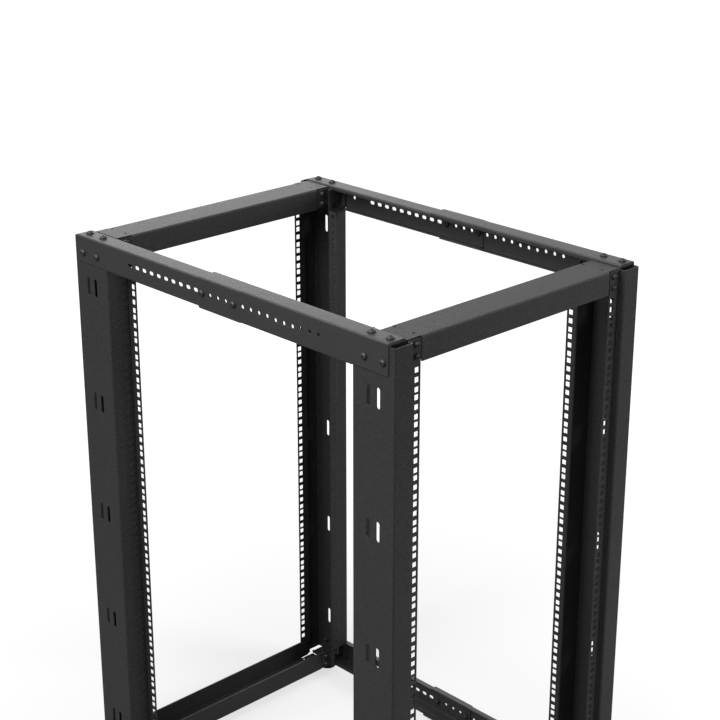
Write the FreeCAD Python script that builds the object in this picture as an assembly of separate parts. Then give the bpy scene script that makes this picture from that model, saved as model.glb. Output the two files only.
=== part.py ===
"""Four post open frame equipment rack of folded steel sheet.

Each corner post is one folded channel with two strips of square holes: one faces forward and
takes the equipment, the other faces the middle of the rack. Telescoping side rails join the
posts at the head and at the base, and folded crossbeams close the front and the back.
The rack stands on four levelling feet. Lengths are in millimetres. X runs to the right, Y to
the back and Z up, from the floor at the middle of the rack.
"""
import FreeCAD, Part
import math
import os

Vector = FreeCAD.Vector

# Sheet metal
SHEET = 2.0              # thickness of every folded piece
BEND = 1.0               # inside radius of a fold
FOLD_FLATS = 3           # flats that round a fold
NEST = 0.15              # clearance between pieces that slide over each other
EDGE_GAP = 0.5           # clearance of an edge beside a piece that it must not touch
OVERCUT = 1.0            # how far a cutting shape runs past the sheet

# Rack units
UNITS = 22               # height of the equipment space in rack units
UNIT = 44.45             # one rack unit
HOLE = 9.5               # side of a square hole
HOLE_INSET = 7.55        # hole centres from the free edge of the strip
OPENING = 450.0          # clear width between the left and right hole strips

# Posts
DEPTH = 810.0            # over the outer faces of the front and rear posts
POST_DEPTH = 92.0        # outer face to inner flange
FLANGE = 38.5            # outer flange, from the side face to the step of the hole strip
STRIP = 25.5             # hole strip, from the step to its free edge
STRIP_RECESS = 10.0      # hole strip behind the outer flange's face
COLUMN = 9.3             # inner flange beyond the outer flange's width
SIDE_STRIP = 20.3        # second hole strip, out from the inner flange
END_MARGIN = 43.65       # plain post beyond the rack units at either end
NOTCH_DEPTH = 42.0       # inner flange cut open at the post's ends for the side rails
FOLD_RELIEF = 1.5        # cut beside the end tab, so that it folds cleanly
TAB_LEAD = 2.0           # end tab in front of the rail's end
SLOT_LENGTH = 35.0       # cable slots in the post's side
SLOT_WIDTH = 8.0
SLOT_SPACING = 21.0      # between the two columns of slots
SLOT_UNITS = 5           # rack units from one pair of slots to the next

# Side rails
RAIL_HEIGHT = 51.0       # outside height of the inner, rear piece
RAIL_SETBACK = 13.0      # rail's end behind the post's outer face
RAIL_OVERLAP = 100.0     # front piece over rear piece
RAIL_LIP = 8.0           # turned-down edge of the wide flange
RAIL_NARROW = 10.0       # narrow flange, from the post's side face
RAIL_GAP = 4.5           # wide flange short of the post's outer flange width
JOGGLE = 8.0             # length of the step in the front piece's web
RAIL_HOLE = 7.0          # diameter of the accessory holes
RAIL_HOLE_PITCH = 20.0
RAIL_HOLE_DROP = 26.0    # row of holes below the rear piece's top
RAIL_HOLES = 3           # accessory holes in each front piece
RAIL_HOLE_STEPS = 8      # pitches from the rack's middle to the middle hole

# Crossbeams and their brackets
BEAM_HEIGHT = 41.0
BEAM_GAP = 2.0           # beam's top between the rails' wide flanges
BEAM_REAR_INSET = 15.0   # rear beam's back wall in front of the rear posts' outer face
PLATE_SETBACK = 12.0     # rear beam's front wall behind the inner flange of the rear posts
TAB = 16.0               # beam's end tab behind the hole strip
TAB_STEP = 2.2           # length of the step between tab and wall
TAB_MARGIN = 3.0         # tab's lower edge above the wall's lower edge
LEG = 28.0               # bracket's leg along the post's side

# Levelling feet
FOOT_HEIGHT = 18.0       # floor to the underside of the lowest rail
FOOT_INSET = 17.0        # foot's axis from the post's side face
PAD_RADIUS = 18.0
PAD_SIDES = 12           # moulded grip flats round the pad
PAD_HEIGHT = 7.0
PAD_EDGE = 2.0           # bevel round the pad's top
STUD_RADIUS = 5.0

half = SHEET / 2
fold = BEND + half
corner = BEND + SHEET
step_out = SHEET + NEST
post_reach = FLANGE + STRIP
width = OPENING + 2 * post_reach
post_length = UNITS * UNIT + 2 * END_MARGIN
column_reach = FLANGE + COLUMN
rail_reach = FLANGE - RAIL_GAP
beam_end = rail_reach + BEAM_GAP
plate_face = POST_DEPTH - PLATE_SETBACK
beam_depth = plate_face - BEAM_REAR_INSET
rear_seat = post_length + SHEET
front_seat = rear_seat + step_out
beam_top = post_length + step_out
tab_low = beam_top - BEAM_HEIGHT + TAB_MARGIN
tab_top = post_length - NEST - BEND
rail_length = (DEPTH - 2 * RAIL_SETBACK + RAIL_OVERLAP) / 2
overlap_start = (DEPTH - RAIL_OVERLAP) / 2
post_foot = FOOT_HEIGHT + front_seat - post_length + SHEET


PLAN = FreeCAD.Rotation()                              # sections drawn in X and Y
FRONT = FreeCAD.Rotation(Vector(1, 0, 0), 90)          # in X and Z
SIDE = FreeCAD.Rotation(Vector(1, 1, 1), 120)          # in Y and Z


def left(way):
    return Vector(-way.y, way.x, 0)


def straight(start, end):
    return Part.LineSegment(start, end).toShape()


def section(line, plane, shift=Vector()):
    """Closed wire round the section of a folded sheet, from its middle line.

    Both faces run half a sheet from the line, and every turn is rounded to the inside radius
    BEND, in FOLD_FLATS flats.
    """
    points = [Vector(u, v, 0) for u, v in line]
    ways = [(end - start).normalize() for start, end in zip(points, points[1:])]
    edges = []
    tips = []
    for offset in (half, -half):
        last = points[0] + left(ways[0]) * offset
        tips.append(last)
        for turn, way_in, way_out in zip(points[1:], ways, ways[1:]):
            side = math.copysign(1, way_in.cross(way_out).z)
            tangent = fold * math.tan(way_in.getAngle(way_out) / 2)
            centre = turn - way_in * tangent + left(way_in) * side * fold
            spoke = left(way_in) * -side * (fold - side * offset)
            for share in range(FOLD_FLATS + 1):
                angle = math.degrees(way_in.getAngle(way_out)) * side * share / FOLD_FLATS
                point = centre + FreeCAD.Rotation(Vector(0, 0, 1), angle).multVec(spoke)
                edges.append(straight(last, point))
                last = point
        finish = points[-1] + left(ways[-1]) * offset
        edges.append(straight(last, finish))
        tips.append(finish)
    edges += [straight(tips[0], tips[2]), straight(tips[1], tips[3])]
    wire = Part.Wire(Part.__sortEdges__(edges))
    wire.Placement = FreeCAD.Placement(shift, plane)
    return wire


def extruded(wire, way):
    return Part.Face(wire).extrude(way)


def block(low, high):
    """Box from its low corner to its high corner."""
    return Part.makeBox(*[b - a for a, b in zip(low, high)], Vector(*low))


def at_both_ends(shape):
    """A feature of the post's top, and its mirror image at the post's foot."""
    return [shape, shape.mirror(Vector(0, 0, post_length / 2), Vector(0, 0, 1))]


def square_holes():
    """Three holes in each unit of the front strip, at 1/7, 1/2 and 6/7 of the unit."""
    x = post_reach - HOLE_INSET - HOLE / 2
    for unit in range(UNITS):
        for share in (1 / 7, 1 / 2, 6 / 7):
            z = END_MARGIN + (unit + share) * UNIT - HOLE / 2
            yield block((x, STRIP_RECESS - OVERCUT, z),
                        (x + HOLE, STRIP_RECESS + SHEET + OVERCUT, z + HOLE))


def cable_slots():
    """Pairs of slots up the post's side, centred on its width and its length."""
    radius = SLOT_WIDTH / 2
    reach = SLOT_LENGTH / 2 - radius
    pairs = (UNITS - 2) // SLOT_UNITS + 1
    for pair in range(pairs):
        z = post_length / 2 + (pair - (pairs - 1) / 2) * SLOT_UNITS * UNIT
        for y in (POST_DEPTH / 2 - SLOT_SPACING / 2, POST_DEPTH / 2 + SLOT_SPACING / 2):
            rim = []
            for end, first in ((1, 0), (-1, 180)):
                for angle in range(first, first + 181, 60):
                    turn = math.radians(angle)
                    rim.append(Vector(-OVERCUT, y + radius * math.cos(turn),
                                      z + end * reach + radius * math.sin(turn)))
            yield extruded(Part.makePolygon(rim + rim[:1]), Vector(SHEET + 2 * OVERCUT, 0, 0))


def wide_reach(seat):
    """Edge of a rail's wide flange. The rear piece slides inside the front one."""
    return rail_reach - (front_seat - seat)


def tab_reach(seat):
    return wide_reach(seat) - SHEET - EDGE_GAP


def post(seat):
    """Front left post, with the rail's wide flange resting on its end tab at height seat."""
    sheet = section([(post_reach, STRIP_RECESS + half),
                     (FLANGE - half, STRIP_RECESS + half),
                     (FLANGE - half, half),
                     (half, half),
                     (half, POST_DEPTH - half),
                     (column_reach - half, POST_DEPTH - half),
                     (column_reach - half, POST_DEPTH + SIDE_STRIP)], PLAN)
    body = extruded(sheet, Vector(0, 0, post_length))

    # The inner flange opens for the rail, and its hole strip stops short of it
    over = front_seat + OVERCUT
    notch_low = post_length - NOTCH_DEPTH
    tab_start = RAIL_SETBACK - TAB_LEAD
    tab_end = POST_DEPTH - corner - FOLD_RELIEF
    fold_low = rear_seat - corner
    cuts = at_both_ends(block((corner, POST_DEPTH - SHEET - OVERCUT, notch_low),
                              (FLANGE, POST_DEPTH + OVERCUT, over)))
    cuts += at_both_ends(block((FLANGE, POST_DEPTH, notch_low),
                               (column_reach + OVERCUT, POST_DEPTH + SIDE_STRIP + OVERCUT, over)))
    cuts += at_both_ends(block((-OVERCUT, tab_start - FOLD_RELIEF, fold_low),
                               (SHEET + OVERCUT, tab_end + FOLD_RELIEF, over)))

    # End tab: the side face folded inwards under the rail's flange
    tab_line = [(half, fold_low - OVERCUT), (half, seat - half), (tab_reach(seat), seat - half)]
    tab = extruded(section(tab_line, FRONT, Vector(0, tab_start, 0)),
                   Vector(0, tab_end - tab_start, 0))

    body = body.cut(cuts + list(square_holes()) + list(cable_slots()))
    return body.fuse(at_both_ends(tab)).removeSplitter()


def rail_section(seat, y, out=0.0):
    """Section of a head rail across Y: a channel that opens inwards, with a lipped top flange."""
    top = seat + SHEET
    low = rear_seat + SHEET - RAIL_HEIGHT - (seat - rear_seat)
    line = [(wide_reach(seat) - half, top - RAIL_LIP),
            (wide_reach(seat) - half, top - half),
            (-half - out, top - half),
            (-half - out, low + half),
            (RAIL_NARROW, low + half)]
    return section(line, FRONT, Vector(0, y, 0))


def over_post(seat):
    """What the narrow flange is cut back by where the rail passes the post."""
    low = rear_seat + SHEET - RAIL_HEIGHT - (seat - rear_seat)
    return block((-SHEET - OVERCUT, 0, low - OVERCUT),
                 (RAIL_NARROW + OVERCUT, POST_DEPTH + EDGE_GAP, low + SHEET + EDGE_GAP))


def rail_front():
    """Front piece of the left head rail. Its web steps out one sheet to lap the rear piece."""
    end = RAIL_SETBACK + rail_length
    step_end = overlap_start - EDGE_GAP
    step_start = step_end - JOGGLE
    stretches = [extruded(rail_section(front_seat, RAIL_SETBACK),
                          Vector(0, step_start - RAIL_SETBACK, 0)),
                 Part.makeLoft([rail_section(front_seat, step_start),
                                rail_section(front_seat, step_end, step_out)], True, True),
                 extruded(rail_section(front_seat, step_end, step_out), Vector(0, end - step_end, 0))]
    body = stretches[0].fuse(stretches[1:]).removeSplitter()
    row = rear_seat + SHEET - RAIL_HOLE_DROP
    holes = [Part.makeCylinder(RAIL_HOLE / 2, SHEET + 2 * OVERCUT, Vector(-SHEET - OVERCUT, y, row),
                               Vector(1, 0, 0))
             for y in rail_hole_places()]
    return body.cut([over_post(front_seat)] + holes)


def rail_hole_places():
    middle = DEPTH / 2 - RAIL_HOLE_STEPS * RAIL_HOLE_PITCH
    return [middle + (k - (RAIL_HOLES - 1) / 2) * RAIL_HOLE_PITCH for k in range(RAIL_HOLES)]


def rail_rear():
    """Rear piece of the left head rail, drawn as it would lie in front."""
    body = extruded(rail_section(rear_seat, RAIL_SETBACK), Vector(0, rail_length, 0))
    return body.cut(over_post(rear_seat))


def crossbeam(y):
    """Head beam with its front wall's face at y: an inverted channel between the posts.

    The front wall lies flush with the hole strips. At either end it steps back behind them to
    a tab, and the top runs on over the posts to the side rails. The back wall has straight tabs.
    """
    low = beam_top - BEAM_HEIGHT
    wall = post_reach + EDGE_GAP + TAB_STEP
    channel = extruded(section([(y + half, low), (y + half, beam_top - half),
                                (y + beam_depth - half, beam_top - half),
                                (y + beam_depth - half, low)], SIDE, Vector(wall, 0, 0)),
                       Vector(width - 2 * wall, 0, 0))
    top = block((beam_end, y + corner, beam_top - SHEET),
                (width - beam_end, y + beam_depth - corner, beam_top))
    pieces = [top]
    for side in (1, -1):
        line = [(post_reach - TAB, y + SHEET + half), (post_reach + EDGE_GAP, y + SHEET + half),
                (wall, y + half), (wall + corner, y + half)]
        if side < 0:
            line = [(width - u, v) for u, v in line]
        pieces.append(extruded(section(line, PLAN, Vector(0, 0, tab_low)),
                               Vector(0, 0, tab_top - tab_low)))
    back = y + beam_depth
    for start, end in ((post_reach - TAB, wall), (width - wall, width - post_reach + TAB)):
        pieces.append(block((start, back - SHEET, tab_low), (end, back, tab_top)))
    return channel.fuse(pieces).removeSplitter()


def beam_bracket():
    """Folded plate in a rear left post, drawn as it would lie in front.

    Its leg lies against the post's side and its plate stands in front of the beam's tab, where
    a front post has its hole strip.
    """
    leg = SHEET + half
    plate = plate_face - half
    body = extruded(section([(leg, plate_face - LEG), (leg, plate), (post_reach, plate)],
                            PLAN, Vector(0, 0, tab_low)),
                    Vector(0, 0, tab_top - tab_low))
    under_rail = rear_seat + SHEET - RAIL_LIP - EDGE_GAP
    return body.cut(block((0, 0, under_rail), (beam_end, POST_DEPTH, beam_top)))


def ring(radius, z):
    """Closed wire of PAD_SIDES straight edges round the Z axis."""
    rim = [Vector(radius * math.cos(turn), radius * math.sin(turn), z)
           for turn in (2 * math.pi * side / PAD_SIDES for side in range(PAD_SIDES))]
    return Part.makePolygon(rim + rim[:1])


def levelling_foot(top):
    """Bevelled pad on the floor, with its stud up to the underside of the rail at height top."""
    pad = Part.makeLoft([ring(PAD_RADIUS, 0), ring(PAD_RADIUS, PAD_HEIGHT - PAD_EDGE),
                         ring(PAD_RADIUS - PAD_EDGE, PAD_HEIGHT)], True, True)
    stud = extruded(ring(STUD_RADIUS, 0), Vector(0, 0, top))
    foot = pad.fuse(stud).removeSplitter()
    foot.translate(Vector(FOOT_INSET, POST_DEPTH / 2, -post_foot))
    return foot


def placed(shape, right=False, rear=False, base=False):
    """A piece drawn at the left front head, mirrored to its corner and set in the rack's frame."""
    middle = Vector(width / 2, DEPTH / 2, post_length / 2)
    for mirrored, normal in ((right, (1, 0, 0)), (rear, (0, 1, 0)), (base, (0, 0, 1))):
        if mirrored:
            shape = shape.mirror(middle, Vector(*normal))
    moved = shape.copy()
    moved.translate(Vector(-width / 2, -DEPTH / 2, post_foot))
    return moved


def rack():
    """Every piece of the rack, by its name."""
    pieces = {}
    ends = {"front": post(front_seat), "rear": post(rear_seat)}
    rails = {"front": rail_front(), "rear": rail_rear()}
    feet = {"front": levelling_foot(FOOT_HEIGHT), "rear": levelling_foot(FOOT_HEIGHT + step_out)}
    beams = {"front": crossbeam(STRIP_RECESS), "rear": crossbeam(DEPTH - plate_face)}
    bracket = beam_bracket()
    for end in ("front", "rear"):
        rear = end == "rear"
        for side in ("left", "right"):
            right = side == "right"
            pieces[f"post_{end}_{side}"] = placed(ends[end], right, rear)
            pieces[f"levelling_foot_{end}_{side}"] = placed(feet[end], right, rear)
            for level in ("top", "base"):
                base = level == "base"
                pieces[f"rail_{side}_{level}_{end}"] = placed(rails[end], right, rear, base)
                if rear:
                    pieces[f"beam_bracket_{side}_{level}"] = placed(bracket, right, rear, base)
        for level in ("top", "base"):
            pieces[f"crossbeam_{end}_{level}"] = placed(beams[end], base=level == "base")
    return pieces


os.makedirs("parts", exist_ok=True)
for name, shape in rack().items():
    shape.exportStep(f"parts/{name}.step")
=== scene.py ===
"""Looks of the four post open frame rack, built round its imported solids. Lengths are in metres."""

import math

import bmesh
import bpy
from mathutils import Matrix, Vector


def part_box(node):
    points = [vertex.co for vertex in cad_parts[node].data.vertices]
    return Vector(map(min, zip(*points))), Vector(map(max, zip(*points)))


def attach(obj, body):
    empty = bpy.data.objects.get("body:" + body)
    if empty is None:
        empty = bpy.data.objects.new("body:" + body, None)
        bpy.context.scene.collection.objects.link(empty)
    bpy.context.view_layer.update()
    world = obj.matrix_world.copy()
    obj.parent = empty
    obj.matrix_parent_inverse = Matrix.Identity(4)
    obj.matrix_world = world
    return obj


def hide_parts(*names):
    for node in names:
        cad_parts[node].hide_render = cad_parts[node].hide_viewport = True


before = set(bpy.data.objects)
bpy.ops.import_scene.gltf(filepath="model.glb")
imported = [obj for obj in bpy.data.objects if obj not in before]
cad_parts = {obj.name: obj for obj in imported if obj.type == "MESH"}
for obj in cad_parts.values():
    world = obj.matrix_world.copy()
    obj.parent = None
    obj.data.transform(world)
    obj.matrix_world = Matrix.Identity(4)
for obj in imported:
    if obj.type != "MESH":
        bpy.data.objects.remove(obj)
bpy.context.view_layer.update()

ENDS = ("front", "rear")
SIDES = ("left", "right")
LEVELS = ("top", "base")

# ---------------------------------------------------------------------------------------------
# Powder coat
# Every sheet steel piece is sprayed with fine black powder and baked. The coat flows into a
# slight orange peel and keeps a satin sheen. Its sharp edges are painted paler, a painted
# highlight, and its creases are painted darker, a painted shade.

GRAIN_SCALE = 900.0
GRAIN_DEPTH = 0.0004
# The colour sockets of a Mix node, whose names its number sockets have too
MIX_A = 6
MIX_B = 7
MIX_RESULT = 2

def socket(group, way, kind, name, default=None):
    """Adds one socket to a node group."""
    made = group.interface.new_socket(name, in_out=way, socket_type=kind)
    if default is not None:
        made.default_value = default
    return made


def coat_group():
    """Node group for the baked coat: colour, roughness and the height of its grain."""
    group = bpy.data.node_groups.new("baked coat", "ShaderNodeTree")
    for name, default in (("Grain Scale", 900.0), ("Mottle Scale", 330.0), ("Cloud Scale", 7.0),
                          ("Roughness", 0.42)):
        socket(group, "INPUT", "NodeSocketFloat", name, default)
    socket(group, "INPUT", "NodeSocketColor", "Dark", (0.02, 0.02, 0.021, 1))
    socket(group, "INPUT", "NodeSocketColor", "Pale", (0.03, 0.03, 0.031, 1))
    socket(group, "OUTPUT", "NodeSocketColor", "Colour")
    socket(group, "OUTPUT", "NodeSocketFloat", "Roughness")
    socket(group, "OUTPUT", "NodeSocketFloat", "Height")
    nodes, links = group.nodes, group.links
    came_in = nodes.new("NodeGroupInput")
    goes_out = nodes.new("NodeGroupOutput")
    place = nodes.new("ShaderNodeTexCoord")

    grain = nodes.new("ShaderNodeTexNoise")
    grain.inputs["Detail"].default_value = 2.0
    links.new(place.outputs["Object"], grain.inputs["Vector"])
    links.new(came_in.outputs["Grain Scale"], grain.inputs["Scale"])

    mottle = nodes.new("ShaderNodeTexNoise")
    mottle.inputs["Detail"].default_value = 1.0
    links.new(place.outputs["Object"], mottle.inputs["Vector"])
    links.new(came_in.outputs["Mottle Scale"], mottle.inputs["Scale"])
    swell = nodes.new("ShaderNodeMath")
    swell.operation = "MULTIPLY_ADD"
    swell.inputs[1].default_value = 3.0
    links.new(mottle.outputs["Fac"], swell.inputs[0])
    links.new(grain.outputs["Fac"], swell.inputs[2])

    clouds = nodes.new("ShaderNodeTexNoise")
    clouds.inputs["Detail"].default_value = 4.0
    links.new(place.outputs["Object"], clouds.inputs["Vector"])
    links.new(came_in.outputs["Cloud Scale"], clouds.inputs["Scale"])

    spots = nodes.new("ShaderNodeMapRange")
    spots.inputs["From Min"].default_value = 0.3
    spots.inputs["From Max"].default_value = 0.7
    links.new(mottle.outputs["Fac"], spots.inputs["Value"])
    shade = nodes.new("ShaderNodeMix")
    shade.inputs["Factor"].default_value = 0.6
    links.new(clouds.outputs["Fac"], shade.inputs["A"])
    links.new(spots.outputs["Result"], shade.inputs["B"])
    colour = nodes.new("ShaderNodeMix")
    colour.data_type = "RGBA"
    links.new(shade.outputs["Result"], colour.inputs["Factor"])
    links.new(came_in.outputs["Dark"], colour.inputs[MIX_A])
    links.new(came_in.outputs["Pale"], colour.inputs[MIX_B])

    specks = nodes.new("ShaderNodeMapRange")
    specks.inputs["To Min"].default_value = -0.05
    specks.inputs["To Max"].default_value = 0.07
    links.new(grain.outputs["Fac"], specks.inputs["Value"])
    rough = nodes.new("ShaderNodeMath")
    rough.operation = "ADD"
    links.new(came_in.outputs["Roughness"], rough.inputs[0])
    links.new(specks.outputs["Result"], rough.inputs[1])

    links.new(colour.outputs[MIX_RESULT], goes_out.inputs["Colour"])
    links.new(rough.outputs[0], goes_out.inputs["Roughness"])
    links.new(swell.outputs[0], goes_out.inputs["Height"])
    return group


def edge_highlight_group():
    """Node group for a painted highlight on edges: a mask that is 1 where the surface turns sharply,
    in patches.
    """
    group = bpy.data.node_groups.new("painted edge highlight", "ShaderNodeTree")
    socket(group, "INPUT", "NodeSocketFloat", "Radius", 0.0006)
    socket(group, "INPUT", "NodeSocketFloat", "Patch Scale", 60.0)
    socket(group, "OUTPUT", "NodeSocketFloat", "Edge")
    nodes, links = group.nodes, group.links
    came_in = nodes.new("NodeGroupInput")
    goes_out = nodes.new("NodeGroupOutput")

    bevel = nodes.new("ShaderNodeBevel")
    bevel.samples = 4
    links.new(came_in.outputs["Radius"], bevel.inputs["Radius"])
    shape = nodes.new("ShaderNodeNewGeometry")
    likeness = nodes.new("ShaderNodeVectorMath")
    likeness.operation = "DOT_PRODUCT"
    links.new(bevel.outputs["Normal"], likeness.inputs[0])
    links.new(shape.outputs["Normal"], likeness.inputs[1])

    edge = nodes.new("ShaderNodeMapRange")
    edge.inputs["From Min"].default_value = 0.995
    edge.inputs["From Max"].default_value = 0.86
    links.new(likeness.outputs["Value"], edge.inputs["Value"])

    place = nodes.new("ShaderNodeTexCoord")
    patches = nodes.new("ShaderNodeTexNoise")
    links.new(place.outputs["Object"], patches.inputs["Vector"])
    links.new(came_in.outputs["Patch Scale"], patches.inputs["Scale"])
    edge_light = nodes.new("ShaderNodeMath")
    edge_light.operation = "MULTIPLY"
    links.new(edge.outputs["Result"], edge_light.inputs[0])
    links.new(patches.outputs["Fac"], edge_light.inputs[1])
    links.new(edge_light.outputs[0], goes_out.inputs["Edge"])
    return group


def painted_shade_group():
    """Node group for painted shade in creases: 1 in the open, less close beside a lap, a bend or a
    hole.
    """
    group = bpy.data.node_groups.new("painted_shade", "ShaderNodeTree")
    socket(group, "INPUT", "NodeSocketFloat", "Reach", 0.006)
    socket(group, "INPUT", "NodeSocketFloat", "Depth", 1.2)
    socket(group, "OUTPUT", "NodeSocketFloat", "Open")
    nodes, links = group.nodes, group.links
    came_in = nodes.new("NodeGroupInput")
    goes_out = nodes.new("NodeGroupOutput")
    near = nodes.new("ShaderNodeAmbientOcclusion")
    near.samples = 4
    links.new(came_in.outputs["Reach"], near.inputs["Distance"])
    closed = nodes.new("ShaderNodeMath")
    closed.operation = "SUBTRACT"
    closed.inputs[0].default_value = 1.0
    links.new(near.outputs["AO"], closed.inputs[1])
    loss = nodes.new("ShaderNodeMath")
    loss.operation = "MULTIPLY"
    links.new(closed.outputs[0], loss.inputs[0])
    links.new(came_in.outputs["Depth"], loss.inputs[1])
    kept = nodes.new("ShaderNodeMath")
    kept.operation = "SUBTRACT"
    kept.use_clamp = True
    kept.inputs[0].default_value = 1.0
    links.new(loss.outputs[0], kept.inputs[1])
    links.new(kept.outputs[0], goes_out.inputs["Open"])
    return group


baked_coat = coat_group()
painted_edge_highlight = edge_highlight_group()
painted_shade = painted_shade_group()


def coated(name, dark, pale, roughness, gloss, grain_scale, bump, edge_highlight_colour):
    """Material of a coated piece: the baked coat, its grain as bump, a painted highlight along its
    edges and painted shade in its creases.
    """
    material = bpy.data.materials.new(name)
    material.use_nodes = True
    nodes, links = material.node_tree.nodes, material.node_tree.links
    shader = nodes["Principled BSDF"]
    coat = nodes.new("ShaderNodeGroup")
    coat.node_tree = baked_coat
    coat.inputs["Grain Scale"].default_value = grain_scale
    coat.inputs["Roughness"].default_value = roughness
    coat.inputs["Dark"].default_value = (*dark, 1)
    coat.inputs["Pale"].default_value = (*pale, 1)
    edge_light = nodes.new("ShaderNodeGroup")
    edge_light.node_tree = painted_edge_highlight
    # Sharp edges are mixed towards a paler colour: a painted highlight where rounded edges catch the
    # light.
    colour = nodes.new("ShaderNodeMix")
    colour.data_type = "RGBA"
    colour.inputs[MIX_B].default_value = (*edge_highlight_colour, 1)
    links.new(edge_light.outputs["Edge"], colour.inputs["Factor"])
    links.new(coat.outputs["Colour"], colour.inputs[MIX_A])
    # The colour is darkened close beside laps, bends and holes: painted shade where little light
    # reaches.
    shade_mask = nodes.new("ShaderNodeGroup")
    shade_mask.node_tree = painted_shade
    shaded_colour = nodes.new("ShaderNodeVectorMath")
    shaded_colour.operation = "SCALE"
    links.new(colour.outputs[MIX_RESULT], shaded_colour.inputs[0])
    links.new(shade_mask.outputs["Open"], shaded_colour.inputs["Scale"])
    links.new(shaded_colour.outputs[0], shader.inputs["Base Color"])
    dull = nodes.new("ShaderNodeMix")
    dull.inputs["A"].default_value = 1.0
    links.new(shade_mask.outputs["Open"], dull.inputs["Factor"])
    links.new(coat.outputs["Roughness"], dull.inputs["B"])
    links.new(dull.outputs["Result"], shader.inputs["Roughness"])
    grain = nodes.new("ShaderNodeBump")
    grain.inputs["Strength"].default_value = bump
    grain.inputs["Distance"].default_value = GRAIN_DEPTH
    links.new(coat.outputs["Height"], grain.inputs["Height"])
    links.new(grain.outputs["Normal"], shader.inputs["Normal"])
    shader.inputs["Specular IOR Level"].default_value = gloss
    return material


frame_coat = coated("frame coat", dark=(0.018, 0.018, 0.019), pale=(0.036, 0.036, 0.037),
                    roughness=0.42, gloss=0.4, grain_scale=GRAIN_SCALE, bump=0.6,
                    edge_highlight_colour=(0.12, 0.12, 0.121))

# ---------------------------------------------------------------------------------------------
# Posts
# Each corner post is one folded steel channel. The hole strip towards the middle of the rack is
# punched as the outer one is, and the side face has pairs of round-ended cable slots.

UNIT = 0.04445
END_MARGIN = 0.04365
HOLE = 0.0095
SHEET = 0.002
PUNCH_REACH = 3 * SHEET
SHARP_ANGLE = math.radians(40)
MERGE_DISTANCE = 1e-6
SIDE_HOLE_INSET = 0.008
SLOT_RADIUS = 0.004
SLOT_LENGTH = 0.035
SLOT_SPACING = 0.021
SLOT_UNITS = 5
COLUMN_REACH = 0.0478
POST_DEPTH = 0.092

low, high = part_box("post_rear_left")
post_low = low.z
post_length = high.z - low.z
units = round((post_length - 2 * END_MARGIN) / UNIT)
half_width = -low.x
half_depth = high.y
side_hole_y = high.y - low.y - SIDE_HOLE_INSET
inward = {"left": 1, "right": -1, "front": 1, "rear": -1}


def at(side, end, x, y, z=0.0):
    """Point x in from a post's side face and y in from its outer face, z above the post's foot."""
    return Vector((-inward[side] * (half_width - x), -inward[end] * (half_depth - y), post_low + z))


def prism(mesh, outline, centre, axis, thick):
    """Adds a prism to mesh: an outline of flat points round centre, thick along axis x or z."""
    turn = {"x": Matrix(((0, 0, 1), (1, 0, 0), (0, 1, 0))), "z": Matrix.Identity(3)}[axis]
    rings = [[mesh.verts.new(centre + turn @ Vector((u, v, w))) for u, v in outline]
             for w in (-thick / 2, thick / 2)]
    mesh.faces.new(rings[0][::-1])
    mesh.faces.new(rings[1])
    for k in range(len(outline)):
        mesh.faces.new((rings[0][k - 1], rings[0][k], rings[1][k], rings[1][k - 1]))


def round_ended(length, radius, steps=10):
    """Outline of a slot along its first flat axis. At a length of twice the radius it is round."""
    reach = length / 2 - radius
    outline = []
    for end, first in ((1, -90), (-1, 90)):
        for k in range(steps + 1):
            turn = math.radians(first + 180 * k / steps)
            outline.append((end * reach + radius * math.cos(turn), radius * math.sin(turn)))
    if reach == 0:
        outline = outline[:steps] + outline[steps + 1:-1]
    return outline


def square(side):
    """Outline of a square hole."""
    half = side / 2
    return [(-half, -half), (half, -half), (half, half), (-half, half)]


def turned(outline):
    """An outline turned a quarter, so that a slot stands upright."""
    return [(-v, u) for u, v in outline]


def punched(node, cuts, coat):
    """Copy of a CAD piece with holes cut through it, which stands for that piece."""
    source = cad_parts[node]
    mesh = bmesh.new()
    mesh.from_mesh(source.data)
    bmesh.ops.remove_doubles(mesh, verts=mesh.verts, dist=MERGE_DISTANCE)
    data = bpy.data.meshes.new(node)
    mesh.to_mesh(data)
    mesh.free()
    piece = bpy.data.objects.new(f"{node}_punched", data)
    bpy.context.scene.collection.objects.link(piece)
    bmesh.ops.recalc_face_normals(cuts, faces=cuts.faces)
    tool_data = bpy.data.meshes.new("punch")
    cuts.to_mesh(tool_data)
    cuts.free()
    punch = bpy.data.objects.new("punch", tool_data)
    bpy.context.scene.collection.objects.link(punch)
    cut = piece.modifiers.new("punch", "BOOLEAN")
    cut.operation = "DIFFERENCE"
    cut.solver = "EXACT"
    cut.object = punch
    graph = bpy.context.evaluated_depsgraph_get()
    result = bpy.data.meshes.new_from_object(piece.evaluated_get(graph))
    piece.modifiers.clear()
    piece.data = result
    result.name = f"{node}_punched"
    bpy.data.objects.remove(punch)
    smooth_folds(piece)
    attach(piece, "root")
    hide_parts(node)
    piece.data.materials.clear()
    piece.data.materials.append(coat)
    return piece


def smooth_folds(piece):
    """Smooth shading over the folds, with flat faces kept flat and sheared edges kept sharp."""
    piece.data.shade_smooth()
    piece.data.set_sharp_from_angle(angle=SHARP_ANGLE)
    weighted = piece.modifiers.new("flat faces", "WEIGHTED_NORMAL")
    weighted.keep_sharp = True


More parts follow.
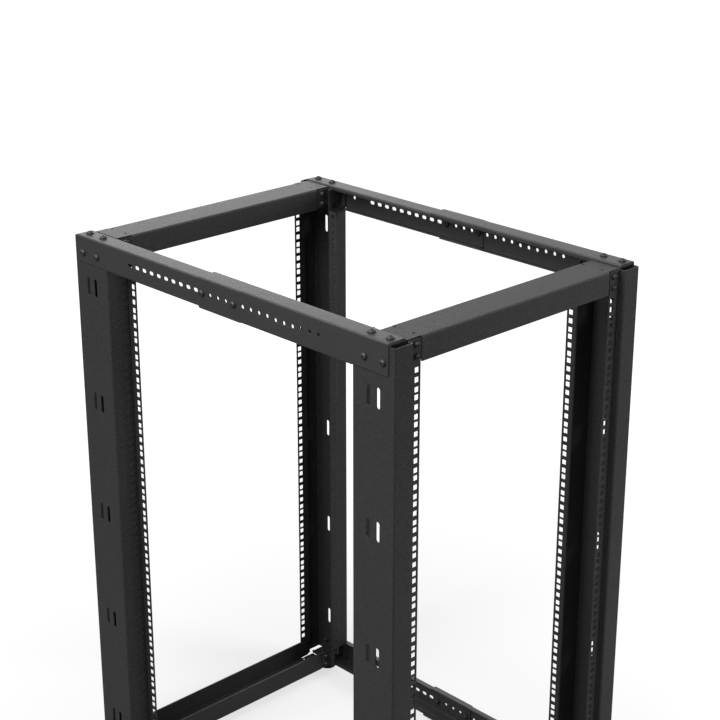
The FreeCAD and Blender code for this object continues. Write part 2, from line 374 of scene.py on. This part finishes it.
hole_heights = [END_MARGIN + (unit + share) * UNIT
                for unit in range(units) for share in (1 / 7, 1 / 2, 6 / 7)]
slot_pairs = (units - 2) // SLOT_UNITS + 1
for end in ENDS:
    for side in SIDES:
        cuts = bmesh.new()
        for z in hole_heights:
            prism(cuts, square(HOLE), at(side, end, COLUMN_REACH - SHEET / 2, side_hole_y, z),
                  "x", PUNCH_REACH)
        for pair in range(slot_pairs):
            z = post_length / 2 + (pair - (slot_pairs - 1) / 2) * SLOT_UNITS * UNIT
            for y in (POST_DEPTH / 2 - SLOT_SPACING / 2, POST_DEPTH / 2 + SLOT_SPACING / 2):
                prism(cuts, turned(round_ended(SLOT_LENGTH, SLOT_RADIUS)),
                      at(side, end, SHEET / 2, y, z), "x", PUNCH_REACH)
        punched(f"post_{end}_{side}", cuts, frame_coat)

# ---------------------------------------------------------------------------------------------
# Side rails
# Two lipped channels slide into each other along each side of the head and base, so the rack's
# depth can be set. The front piece has round holes and the rear piece has short slots. The
# front piece's solid has the three holes at STATED_STEPS already.

RAIL_ROW = 0.022
RAIL_PITCH = 0.020
RAIL_STEPS = 12
RAIL_LAP_STEPS = 2
RAIL_HOLE_RADIUS = 0.0035
RAIL_SLOT_LENGTH = 0.012
RAIL_END_HOLE = 0.115
STATED_STEPS = (-9, -8, -7)
LAP_REACH = 5 * SHEET
rail_coat = coated("rail coat", dark=(0.022, 0.022, 0.023), pale=(0.034, 0.034, 0.035),
                   roughness=0.42, gloss=0.55, grain_scale=GRAIN_SCALE, bump=0.35,
                   edge_highlight_colour=(0.10, 0.10, 0.101))
rail_row = {"top": post_length - RAIL_ROW, "base": RAIL_ROW}

for side in SIDES:
    for level in LEVELS:
        z = rail_row[level]
        front = bmesh.new()
        rear = bmesh.new()
        for steps in range(-RAIL_STEPS, RAIL_STEPS + 1):
            y = half_depth + steps * RAIL_PITCH
            if steps <= RAIL_LAP_STEPS and steps not in STATED_STEPS:
                prism(front, round_ended(2 * RAIL_HOLE_RADIUS, RAIL_HOLE_RADIUS, 16),
                      at(side, "front", -SHEET, y, z), "x", LAP_REACH)
            if steps >= -RAIL_LAP_STEPS:
                prism(rear, round_ended(RAIL_SLOT_LENGTH, RAIL_HOLE_RADIUS),
                      at(side, "front", -SHEET, y, z), "x", LAP_REACH)
        if side == "right":
            prism(rear, round_ended(2 * RAIL_HOLE_RADIUS, RAIL_HOLE_RADIUS, 16),
                  at(side, "rear", -SHEET, RAIL_END_HOLE, z), "x", LAP_REACH)
        punched(f"rail_{side}_{level}_front", front, rail_coat)
        punched(f"rail_{side}_{level}_rear", rear, rail_coat)

# ---------------------------------------------------------------------------------------------
# Crossbeams and their brackets
# An inverted channel closes each end of the head and base. It is screwed behind the hole
# strips in front, and to folded plates in the rear posts.

BEAM_HOLE_RADIUS = 0.0027
BEAM_HOLE_X = 0.0658
BEAM_HOLES = (0.0173, 0.0573)

# The front beams wear the same powder coat as the rest. This copy of it is painted paler, as painted
# light on their faces, and has less gloss.
front_beam_painted_light_coat = coated("front beam painted light coat", dark=(0.026, 0.026, 0.027), pale=(0.045, 0.045, 0.046),
                         roughness=0.5, gloss=0.25, grain_scale=GRAIN_SCALE, bump=0.6,
                         edge_highlight_colour=(0.10, 0.10, 0.101))

for end in ENDS:
    for level in LEVELS:
        node = f"crossbeam_{end}_{level}"
        low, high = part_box(node)
        face = high.z if level == "top" else low.z
        cuts = bmesh.new()
        for x in (BEAM_HOLE_X - half_width, half_width - BEAM_HOLE_X):
            for y in BEAM_HOLES:
                prism(cuts, round_ended(2 * BEAM_HOLE_RADIUS, BEAM_HOLE_RADIUS, 12),
                      Vector((x, low.y + y, face)), "z", PUNCH_REACH)
        punched(node, cuts, front_beam_painted_light_coat if end == "front" else frame_coat)

for side in SIDES:
    for level in LEVELS:
        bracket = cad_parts[f"beam_bracket_{side}_{level}"]
        smooth_folds(bracket)
        bracket.data.materials.clear()
        bracket.data.materials.append(frame_coat)

# ---------------------------------------------------------------------------------------------
# Screws
# Button head screws hold the rails to the posts, the two rail pieces to each other and the
# beams to the hole strips. They are black oxide steel, with a cross recess.

HEAD_WIDTH = 0.0122
STRIP_HEAD_WIDTH = 0.0092
HEAD_HEIGHT = 0.0055
HEAD_RIM = 0.0014
HEAD_STEPS = 6
HEAD_SIDES = 28
DOME_TURN = math.radians(75)
RECESS_RISE = 0.0010
RECESS_DEPTH = 0.0018
RECESS_LENGTH = {"top": 0.42, "bottom": 0.24}
RECESS_WIDTH = {"top": 0.12, "bottom": 0.07}
NUT_BEVEL = 0.08
STUD_BEVEL = 0.2
STUD_SIDES = 16


def turned_solid(mesh, profile, sides):
    """Adds a closed shape to mesh, with as many sides round Z as given, from (radius, z) pairs."""
    loops = [[mesh.verts.new((radius * math.cos(2 * math.pi * side / sides),
                              radius * math.sin(2 * math.pi * side / sides), z))
              for side in range(sides)] for radius, z in profile]
    for lower, upper in zip(loops, loops[1:]):
        for side in range(sides):
            mesh.faces.new((lower[side - 1], lower[side], upper[side], upper[side - 1]))
    mesh.faces.new(loops[0][::-1])
    mesh.faces.new(loops[-1])


def screw_mesh(name, width):
    """Domed head as wide as given, standing on z = 0, with a cross recess in its crown."""
    mesh = bmesh.new()
    profile = [(width / 2, 0.0)]
    for k in range(HEAD_STEPS + 1):
        turn = DOME_TURN * k / HEAD_STEPS
        profile.append((width / 2 * math.cos(turn),
                        HEAD_RIM + (HEAD_HEIGHT - HEAD_RIM) * math.sin(turn)))
    turned_solid(mesh, profile, HEAD_SIDES)
    data = bpy.data.meshes.new("screw head")
    mesh.to_mesh(data)
    mesh.free()
    head = bpy.data.objects.new("screw head", data)
    bpy.context.scene.collection.objects.link(head)

    recess = bmesh.new()
    for turn in (0, math.pi / 2):
        blade = bmesh.ops.create_cube(recess, size=1.0)["verts"]
        for vert in blade:
            level = "top" if vert.co.z > 0 else "bottom"
            vert.co = Vector((vert.co.x * width * RECESS_LENGTH[level],
                              vert.co.y * width * RECESS_WIDTH[level],
                              HEAD_HEIGHT + (RECESS_RISE if level == "top" else -RECESS_DEPTH)))
        bmesh.ops.rotate(recess, verts=blade, matrix=Matrix.Rotation(turn, 3, "Z"))
    recess_data = bpy.data.meshes.new("recess")
    recess.to_mesh(recess_data)
    recess.free()
    tool = bpy.data.objects.new("recess", recess_data)
    bpy.context.scene.collection.objects.link(tool)
    cut = head.modifiers.new("recess", "BOOLEAN")
    cut.operation = "DIFFERENCE"
    cut.solver = "EXACT"
    cut.use_self = True
    cut.object = tool
    graph = bpy.context.evaluated_depsgraph_get()
    result = bpy.data.meshes.new_from_object(head.evaluated_get(graph))
    bpy.data.objects.remove(head)
    bpy.data.objects.remove(tool)
    result.name = name
    result.shade_smooth()
    result.set_sharp_from_angle(angle=SHARP_ANGLE)
    return result


screw = screw_mesh("screw", HEAD_WIDTH)
strip_screw = screw_mesh("strip screw", STRIP_HEAD_WIDTH)
screw_black = coated("screw black", dark=(0.018, 0.018, 0.019), pale=(0.028, 0.028, 0.029),
                     roughness=0.42, gloss=0.45, grain_scale=1500.0, bump=0.1,
                     edge_highlight_colour=(0.05, 0.05, 0.05))
screw.materials.append(screw_black)
strip_screw.materials.append(screw_black)


def nut_mesh(name, flats, height, stud, stud_reach, material):
    """Six-sided nut standing on z = 0 with bevelled corners, and the end of its stud."""
    mesh = bmesh.new()
    corner = flats / 2 / math.cos(math.radians(30))
    bevel = NUT_BEVEL * flats
    turned_solid(mesh, [(corner - bevel, 0.0), (corner, bevel / 2), (corner, height - bevel / 2),
                        (corner - bevel, height)], 6)
    if stud_reach:
        turned_solid(mesh, [(stud, height), (stud, height + stud_reach - STUD_BEVEL * stud),
                            (stud - STUD_BEVEL * stud, height + stud_reach)], STUD_SIDES)
    data = bpy.data.meshes.new(name)
    mesh.to_mesh(data)
    mesh.free()
    data.shade_smooth()
    data.set_sharp_from_angle(angle=math.radians(25))
    data.materials.append(material)
    return data


nut = nut_mesh("nut", flats=0.010, height=0.005, stud=0.003, stud_reach=0.0025,
               material=screw_black)


def drive(name, data, place, way, turn=0.0):
    """A screw or nut standing on place and pointing along way, turned about its own axis.

    Each gets its own turn in radians, because no two are tightened alike.
    """
    piece = bpy.data.objects.new(name, data)
    bpy.context.scene.collection.objects.link(piece)
    aim = Vector(way).to_track_quat("Z", "Y").to_matrix().to_4x4()
    piece.matrix_world = Matrix.Translation(place) @ aim @ Matrix.Rotation(turn, 4, "Z")
    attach(piece, "root")
    return piece


SIDE_SCREW_Y = {"front": (0.023, 0.063), "rear": (0.028, 0.068)}
HEAD_SCREW_Y = {"front": (0.025, 0.065), "rear": (0.027, 0.067)}
SIDE_SCREW_Z = 0.0285
TOP_SCREW_X = 0.0145
STRIP_SCREW_X = 0.0545
STRIP_SCREW_Z = (0.0105, 0.0297)
STRIP_SCREW_Y = {"front": 0.010, "rear": 0.080}
NEST = 0.00015
TAB_RISE = {"front": SHEET + NEST, "rear": 0.0}
for end in ENDS:
    for side in SIDES:
        for level in LEVELS:
            way_up = 1 if level == "top" else -1
            low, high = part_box(f"rail_{side}_{level}_{end}")
            outer = high.z if level == "top" else low.z
            rise = TAB_RISE[end] if level == "top" else -TAB_RISE[end]
            for k, (y, head_y) in enumerate(zip(SIDE_SCREW_Y[end], HEAD_SCREW_Y[end])):
                z = post_length - SIDE_SCREW_Z if level == "top" else SIDE_SCREW_Z
                tag = f"{end}_{side}_{level}_{k}"
                drive(f"side_screw_{tag}", screw, at(side, end, -SHEET, y, z),
                      (-inward[side], 0, 0), 0.4 + k)
                behind = SHEET * (2 if end == "rear" and k == 1 else 1)
                drive(f"side_nut_{tag}", nut, at(side, end, behind, y, z), (inward[side], 0, 0), k)
                place = at(side, end, TOP_SCREW_X, head_y, post_length if level == "top" else 0)
                under = place + Vector((0, 0, rise))
                place.z = outer
                drive(f"head_screw_{tag}", screw, place, (0, 0, way_up), 0.9 + k)
                drive(f"head_nut_{tag}", nut, under, (0, 0, -way_up), 0.3 + k)
            for k, drop in enumerate(STRIP_SCREW_Z):
                z = post_length - drop if level == "top" else drop
                place = at(side, end, STRIP_SCREW_X, STRIP_SCREW_Y[end], z)
                drive(f"strip_screw_{end}_{side}_{level}_{k}", strip_screw, place, (0, -1, 0), 0.2 + k)
                drive(f"strip_nut_{end}_{side}_{level}_{k}", nut,
                      place + Vector((0, 2 * SHEET, 0)), (0, 1, 0), 0.5 + k)

for side in SIDES:
    for level in LEVELS:
        for k, steps in enumerate((-RAIL_LAP_STEPS, RAIL_LAP_STEPS)):
            y = half_depth + steps * RAIL_PITCH
            drive(f"lap_screw_{side}_{level}_{k}", screw,
                  at(side, "front", -2 * SHEET - NEST, y, rail_row[level]),
                  (-inward[side], 0, 0), 0.7 + k)
            drive(f"lap_nut_{side}_{level}_{k}", nut, at(side, "front", 0, y, rail_row[level]),
                  (inward[side], 0, 0), 0.2 + k)

# ---------------------------------------------------------------------------------------------
# Levelling feet
# Each post stands on a moulded pad with a zinc plated stud, held by a lock nut under the rail.

foot_plastic = coated("foot plastic", dark=(0.012, 0.012, 0.012), pale=(0.018, 0.018, 0.018),
                      roughness=0.55, gloss=0.4, grain_scale=500.0, bump=0.25,
                      edge_highlight_colour=(0.04, 0.04, 0.04))
stud_zinc = bpy.data.materials.new("stud zinc")
stud_zinc.use_nodes = True
zinc = stud_zinc.node_tree.nodes["Principled BSDF"]
zinc.inputs["Base Color"].default_value = (0.42, 0.43, 0.44, 1)
zinc.inputs["Metallic"].default_value = 1.0
zinc.inputs["Roughness"].default_value = 0.38
PAD_HEIGHT = 0.007
TOUCH = 1e-5
UPRIGHT = 0.5
for end in ENDS:
    for side in SIDES:
        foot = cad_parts[f"levelling_foot_{end}_{side}"]
        foot.data.materials.clear()
        foot.data.materials.append(foot_plastic)
        foot.data.materials.append(stud_zinc)
        for face in foot.data.polygons:
            above = min(foot.data.vertices[v].co.z for v in face.vertices)
            on_stud = above > PAD_HEIGHT - TOUCH and abs(face.normal.z) < UPRIGHT
            face.material_index = 1 if on_stud else 0

LOCK_NUT_X = 0.017
LOCK_NUT_Y = 0.046
lock_nut = nut_mesh("lock nut", flats=0.016, height=0.006, stud=0, stud_reach=0,
                    material=stud_zinc)
for end in ENDS:
    for side in SIDES:
        low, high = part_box(f"rail_{side}_base_{end}")
        place = at(side, end, LOCK_NUT_X, LOCK_NUT_Y)
        place.z = low.z
        drive(f"lock_nut_{end}_{side}", lock_nut, place, (0, 0, -1), 0.4)

# ---------------------------------------------------------------------------------------------
# Floor, light and camera
# The rack stands on pale paper in a studio. Large soft lamps hang above, to the left, behind
# and to the front right, and the camera looks down at the head from the front left.
# The paper's own glow, for the camera alone, rises to white a little way from the rack.

FLOOR_REACH = 30.0
floor_data = bpy.data.meshes.new("floor")
floor_mesh = bmesh.new()
bmesh.ops.create_grid(floor_mesh, x_segments=1, y_segments=1, size=FLOOR_REACH)
floor_mesh.to_mesh(floor_data)
floor_mesh.free()
floor = bpy.data.objects.new("floor", floor_data)
bpy.context.scene.collection.objects.link(floor)
paper = bpy.data.materials.new("pale floor")
paper.use_nodes = True
shader = paper.node_tree.nodes["Principled BSDF"]
shader.inputs["Base Color"].default_value = (0.28, 0.28, 0.28, 1)
shader.inputs["Roughness"].default_value = 0.9
shader.inputs["Specular IOR Level"].default_value = 0.0
shader.inputs["Emission Color"].default_value = (1, 1, 1, 1)
place = paper.node_tree.nodes.new("ShaderNodeNewGeometry")
distance = paper.node_tree.nodes.new("ShaderNodeVectorMath")
distance.operation = "LENGTH"
lift = paper.node_tree.nodes.new("ShaderNodeMapRange")
lift.inputs["From Min"].default_value = 0.5
lift.inputs["From Max"].default_value = 2.2
lift.inputs["To Min"].default_value = 0.68
lift.inputs["To Max"].default_value = 1.0
seen = paper.node_tree.nodes.new("ShaderNodeLightPath")
glow = paper.node_tree.nodes.new("ShaderNodeMath")
glow.operation = "MULTIPLY"
links = paper.node_tree.links
links.new(place.outputs["Position"], distance.inputs[0])
links.new(distance.outputs["Value"], lift.inputs["Value"])
links.new(lift.outputs["Result"], glow.inputs[0])
links.new(seen.outputs["Is Camera Ray"], glow.inputs[1])
links.new(glow.outputs[0], shader.inputs["Emission Strength"])
floor_data.materials.append(paper)

world = bpy.data.worlds.new("studio")
bpy.context.scene.world = world
world.use_nodes = True
sky = world.node_tree.nodes["Background"]
sky.inputs["Color"].default_value = (1, 1, 1, 1)
seen = world.node_tree.nodes.new("ShaderNodeLightPath")
strength = world.node_tree.nodes.new("ShaderNodeMapRange")
strength.inputs["To Min"].default_value = 0.12
strength.inputs["To Max"].default_value = 1.0
either = world.node_tree.nodes.new("ShaderNodeMath")
either.operation = "MAXIMUM"
world.node_tree.links.new(seen.outputs["Is Camera Ray"], either.inputs[0])
world.node_tree.links.new(seen.outputs["Is Glossy Ray"], either.inputs[1])
world.node_tree.links.new(either.outputs[0], strength.inputs["Value"])
world.node_tree.links.new(strength.outputs["Result"], sky.inputs["Strength"])


def softbox(name, place, aim, size, power):
    """Area lamp at place, turned to aim, that the camera doesn't see. Its power is in watts."""
    lamp = bpy.data.lights.new(name, "AREA")
    lamp.shape = "RECTANGLE"
    lamp.size, lamp.size_y = size
    lamp.energy = power
    holder = bpy.data.objects.new(name, lamp)
    bpy.context.scene.collection.objects.link(holder)
    holder.visible_camera = False
    holder.location = place
    holder.rotation_euler = (Vector(aim) - Vector(place)).to_track_quat("-Z", "Y").to_euler()
    return holder


softbox("key", (-1.9, 0.5, 3.9), (0, 0, 0.8), (1.2, 1.2), 42)
softbox("left fill", (-2.7, -0.3, 3.0), (0, 0, 0.8), (2.4, 2.0), 100)
softbox("back", (1.6, 3.2, 2.1), (0, 0, 1.0), (2.6, 1.2), 14)
front = softbox("front", (1.4, -1.5, 1.4), (0, -0.4, 0.8), (1.1, 0.5), 36)
front.visible_glossy = False

EYE = Vector((-1.9568, -2.0744, 1.9705))
AZIMUTH = math.radians(-43.72)
ELEVATION = math.radians(20.83)
FOCAL_LENGTH = 86.1
SENSOR_WIDTH = 36.0
lens = bpy.data.cameras.new("camera")
lens.lens = FOCAL_LENGTH
lens.sensor_width = SENSOR_WIDTH
camera = bpy.data.objects.new("camera", lens)
bpy.context.scene.collection.objects.link(camera)
look = Vector((-math.sin(AZIMUTH) * math.cos(ELEVATION), math.cos(AZIMUTH) * math.cos(ELEVATION),
               -math.sin(ELEVATION)))
camera.location = EYE
camera.rotation_euler = look.to_track_quat("-Z", "Y").to_euler()
bpy.context.scene.camera = camera

bpy.context.scene.view_settings.view_transform = "Standard"
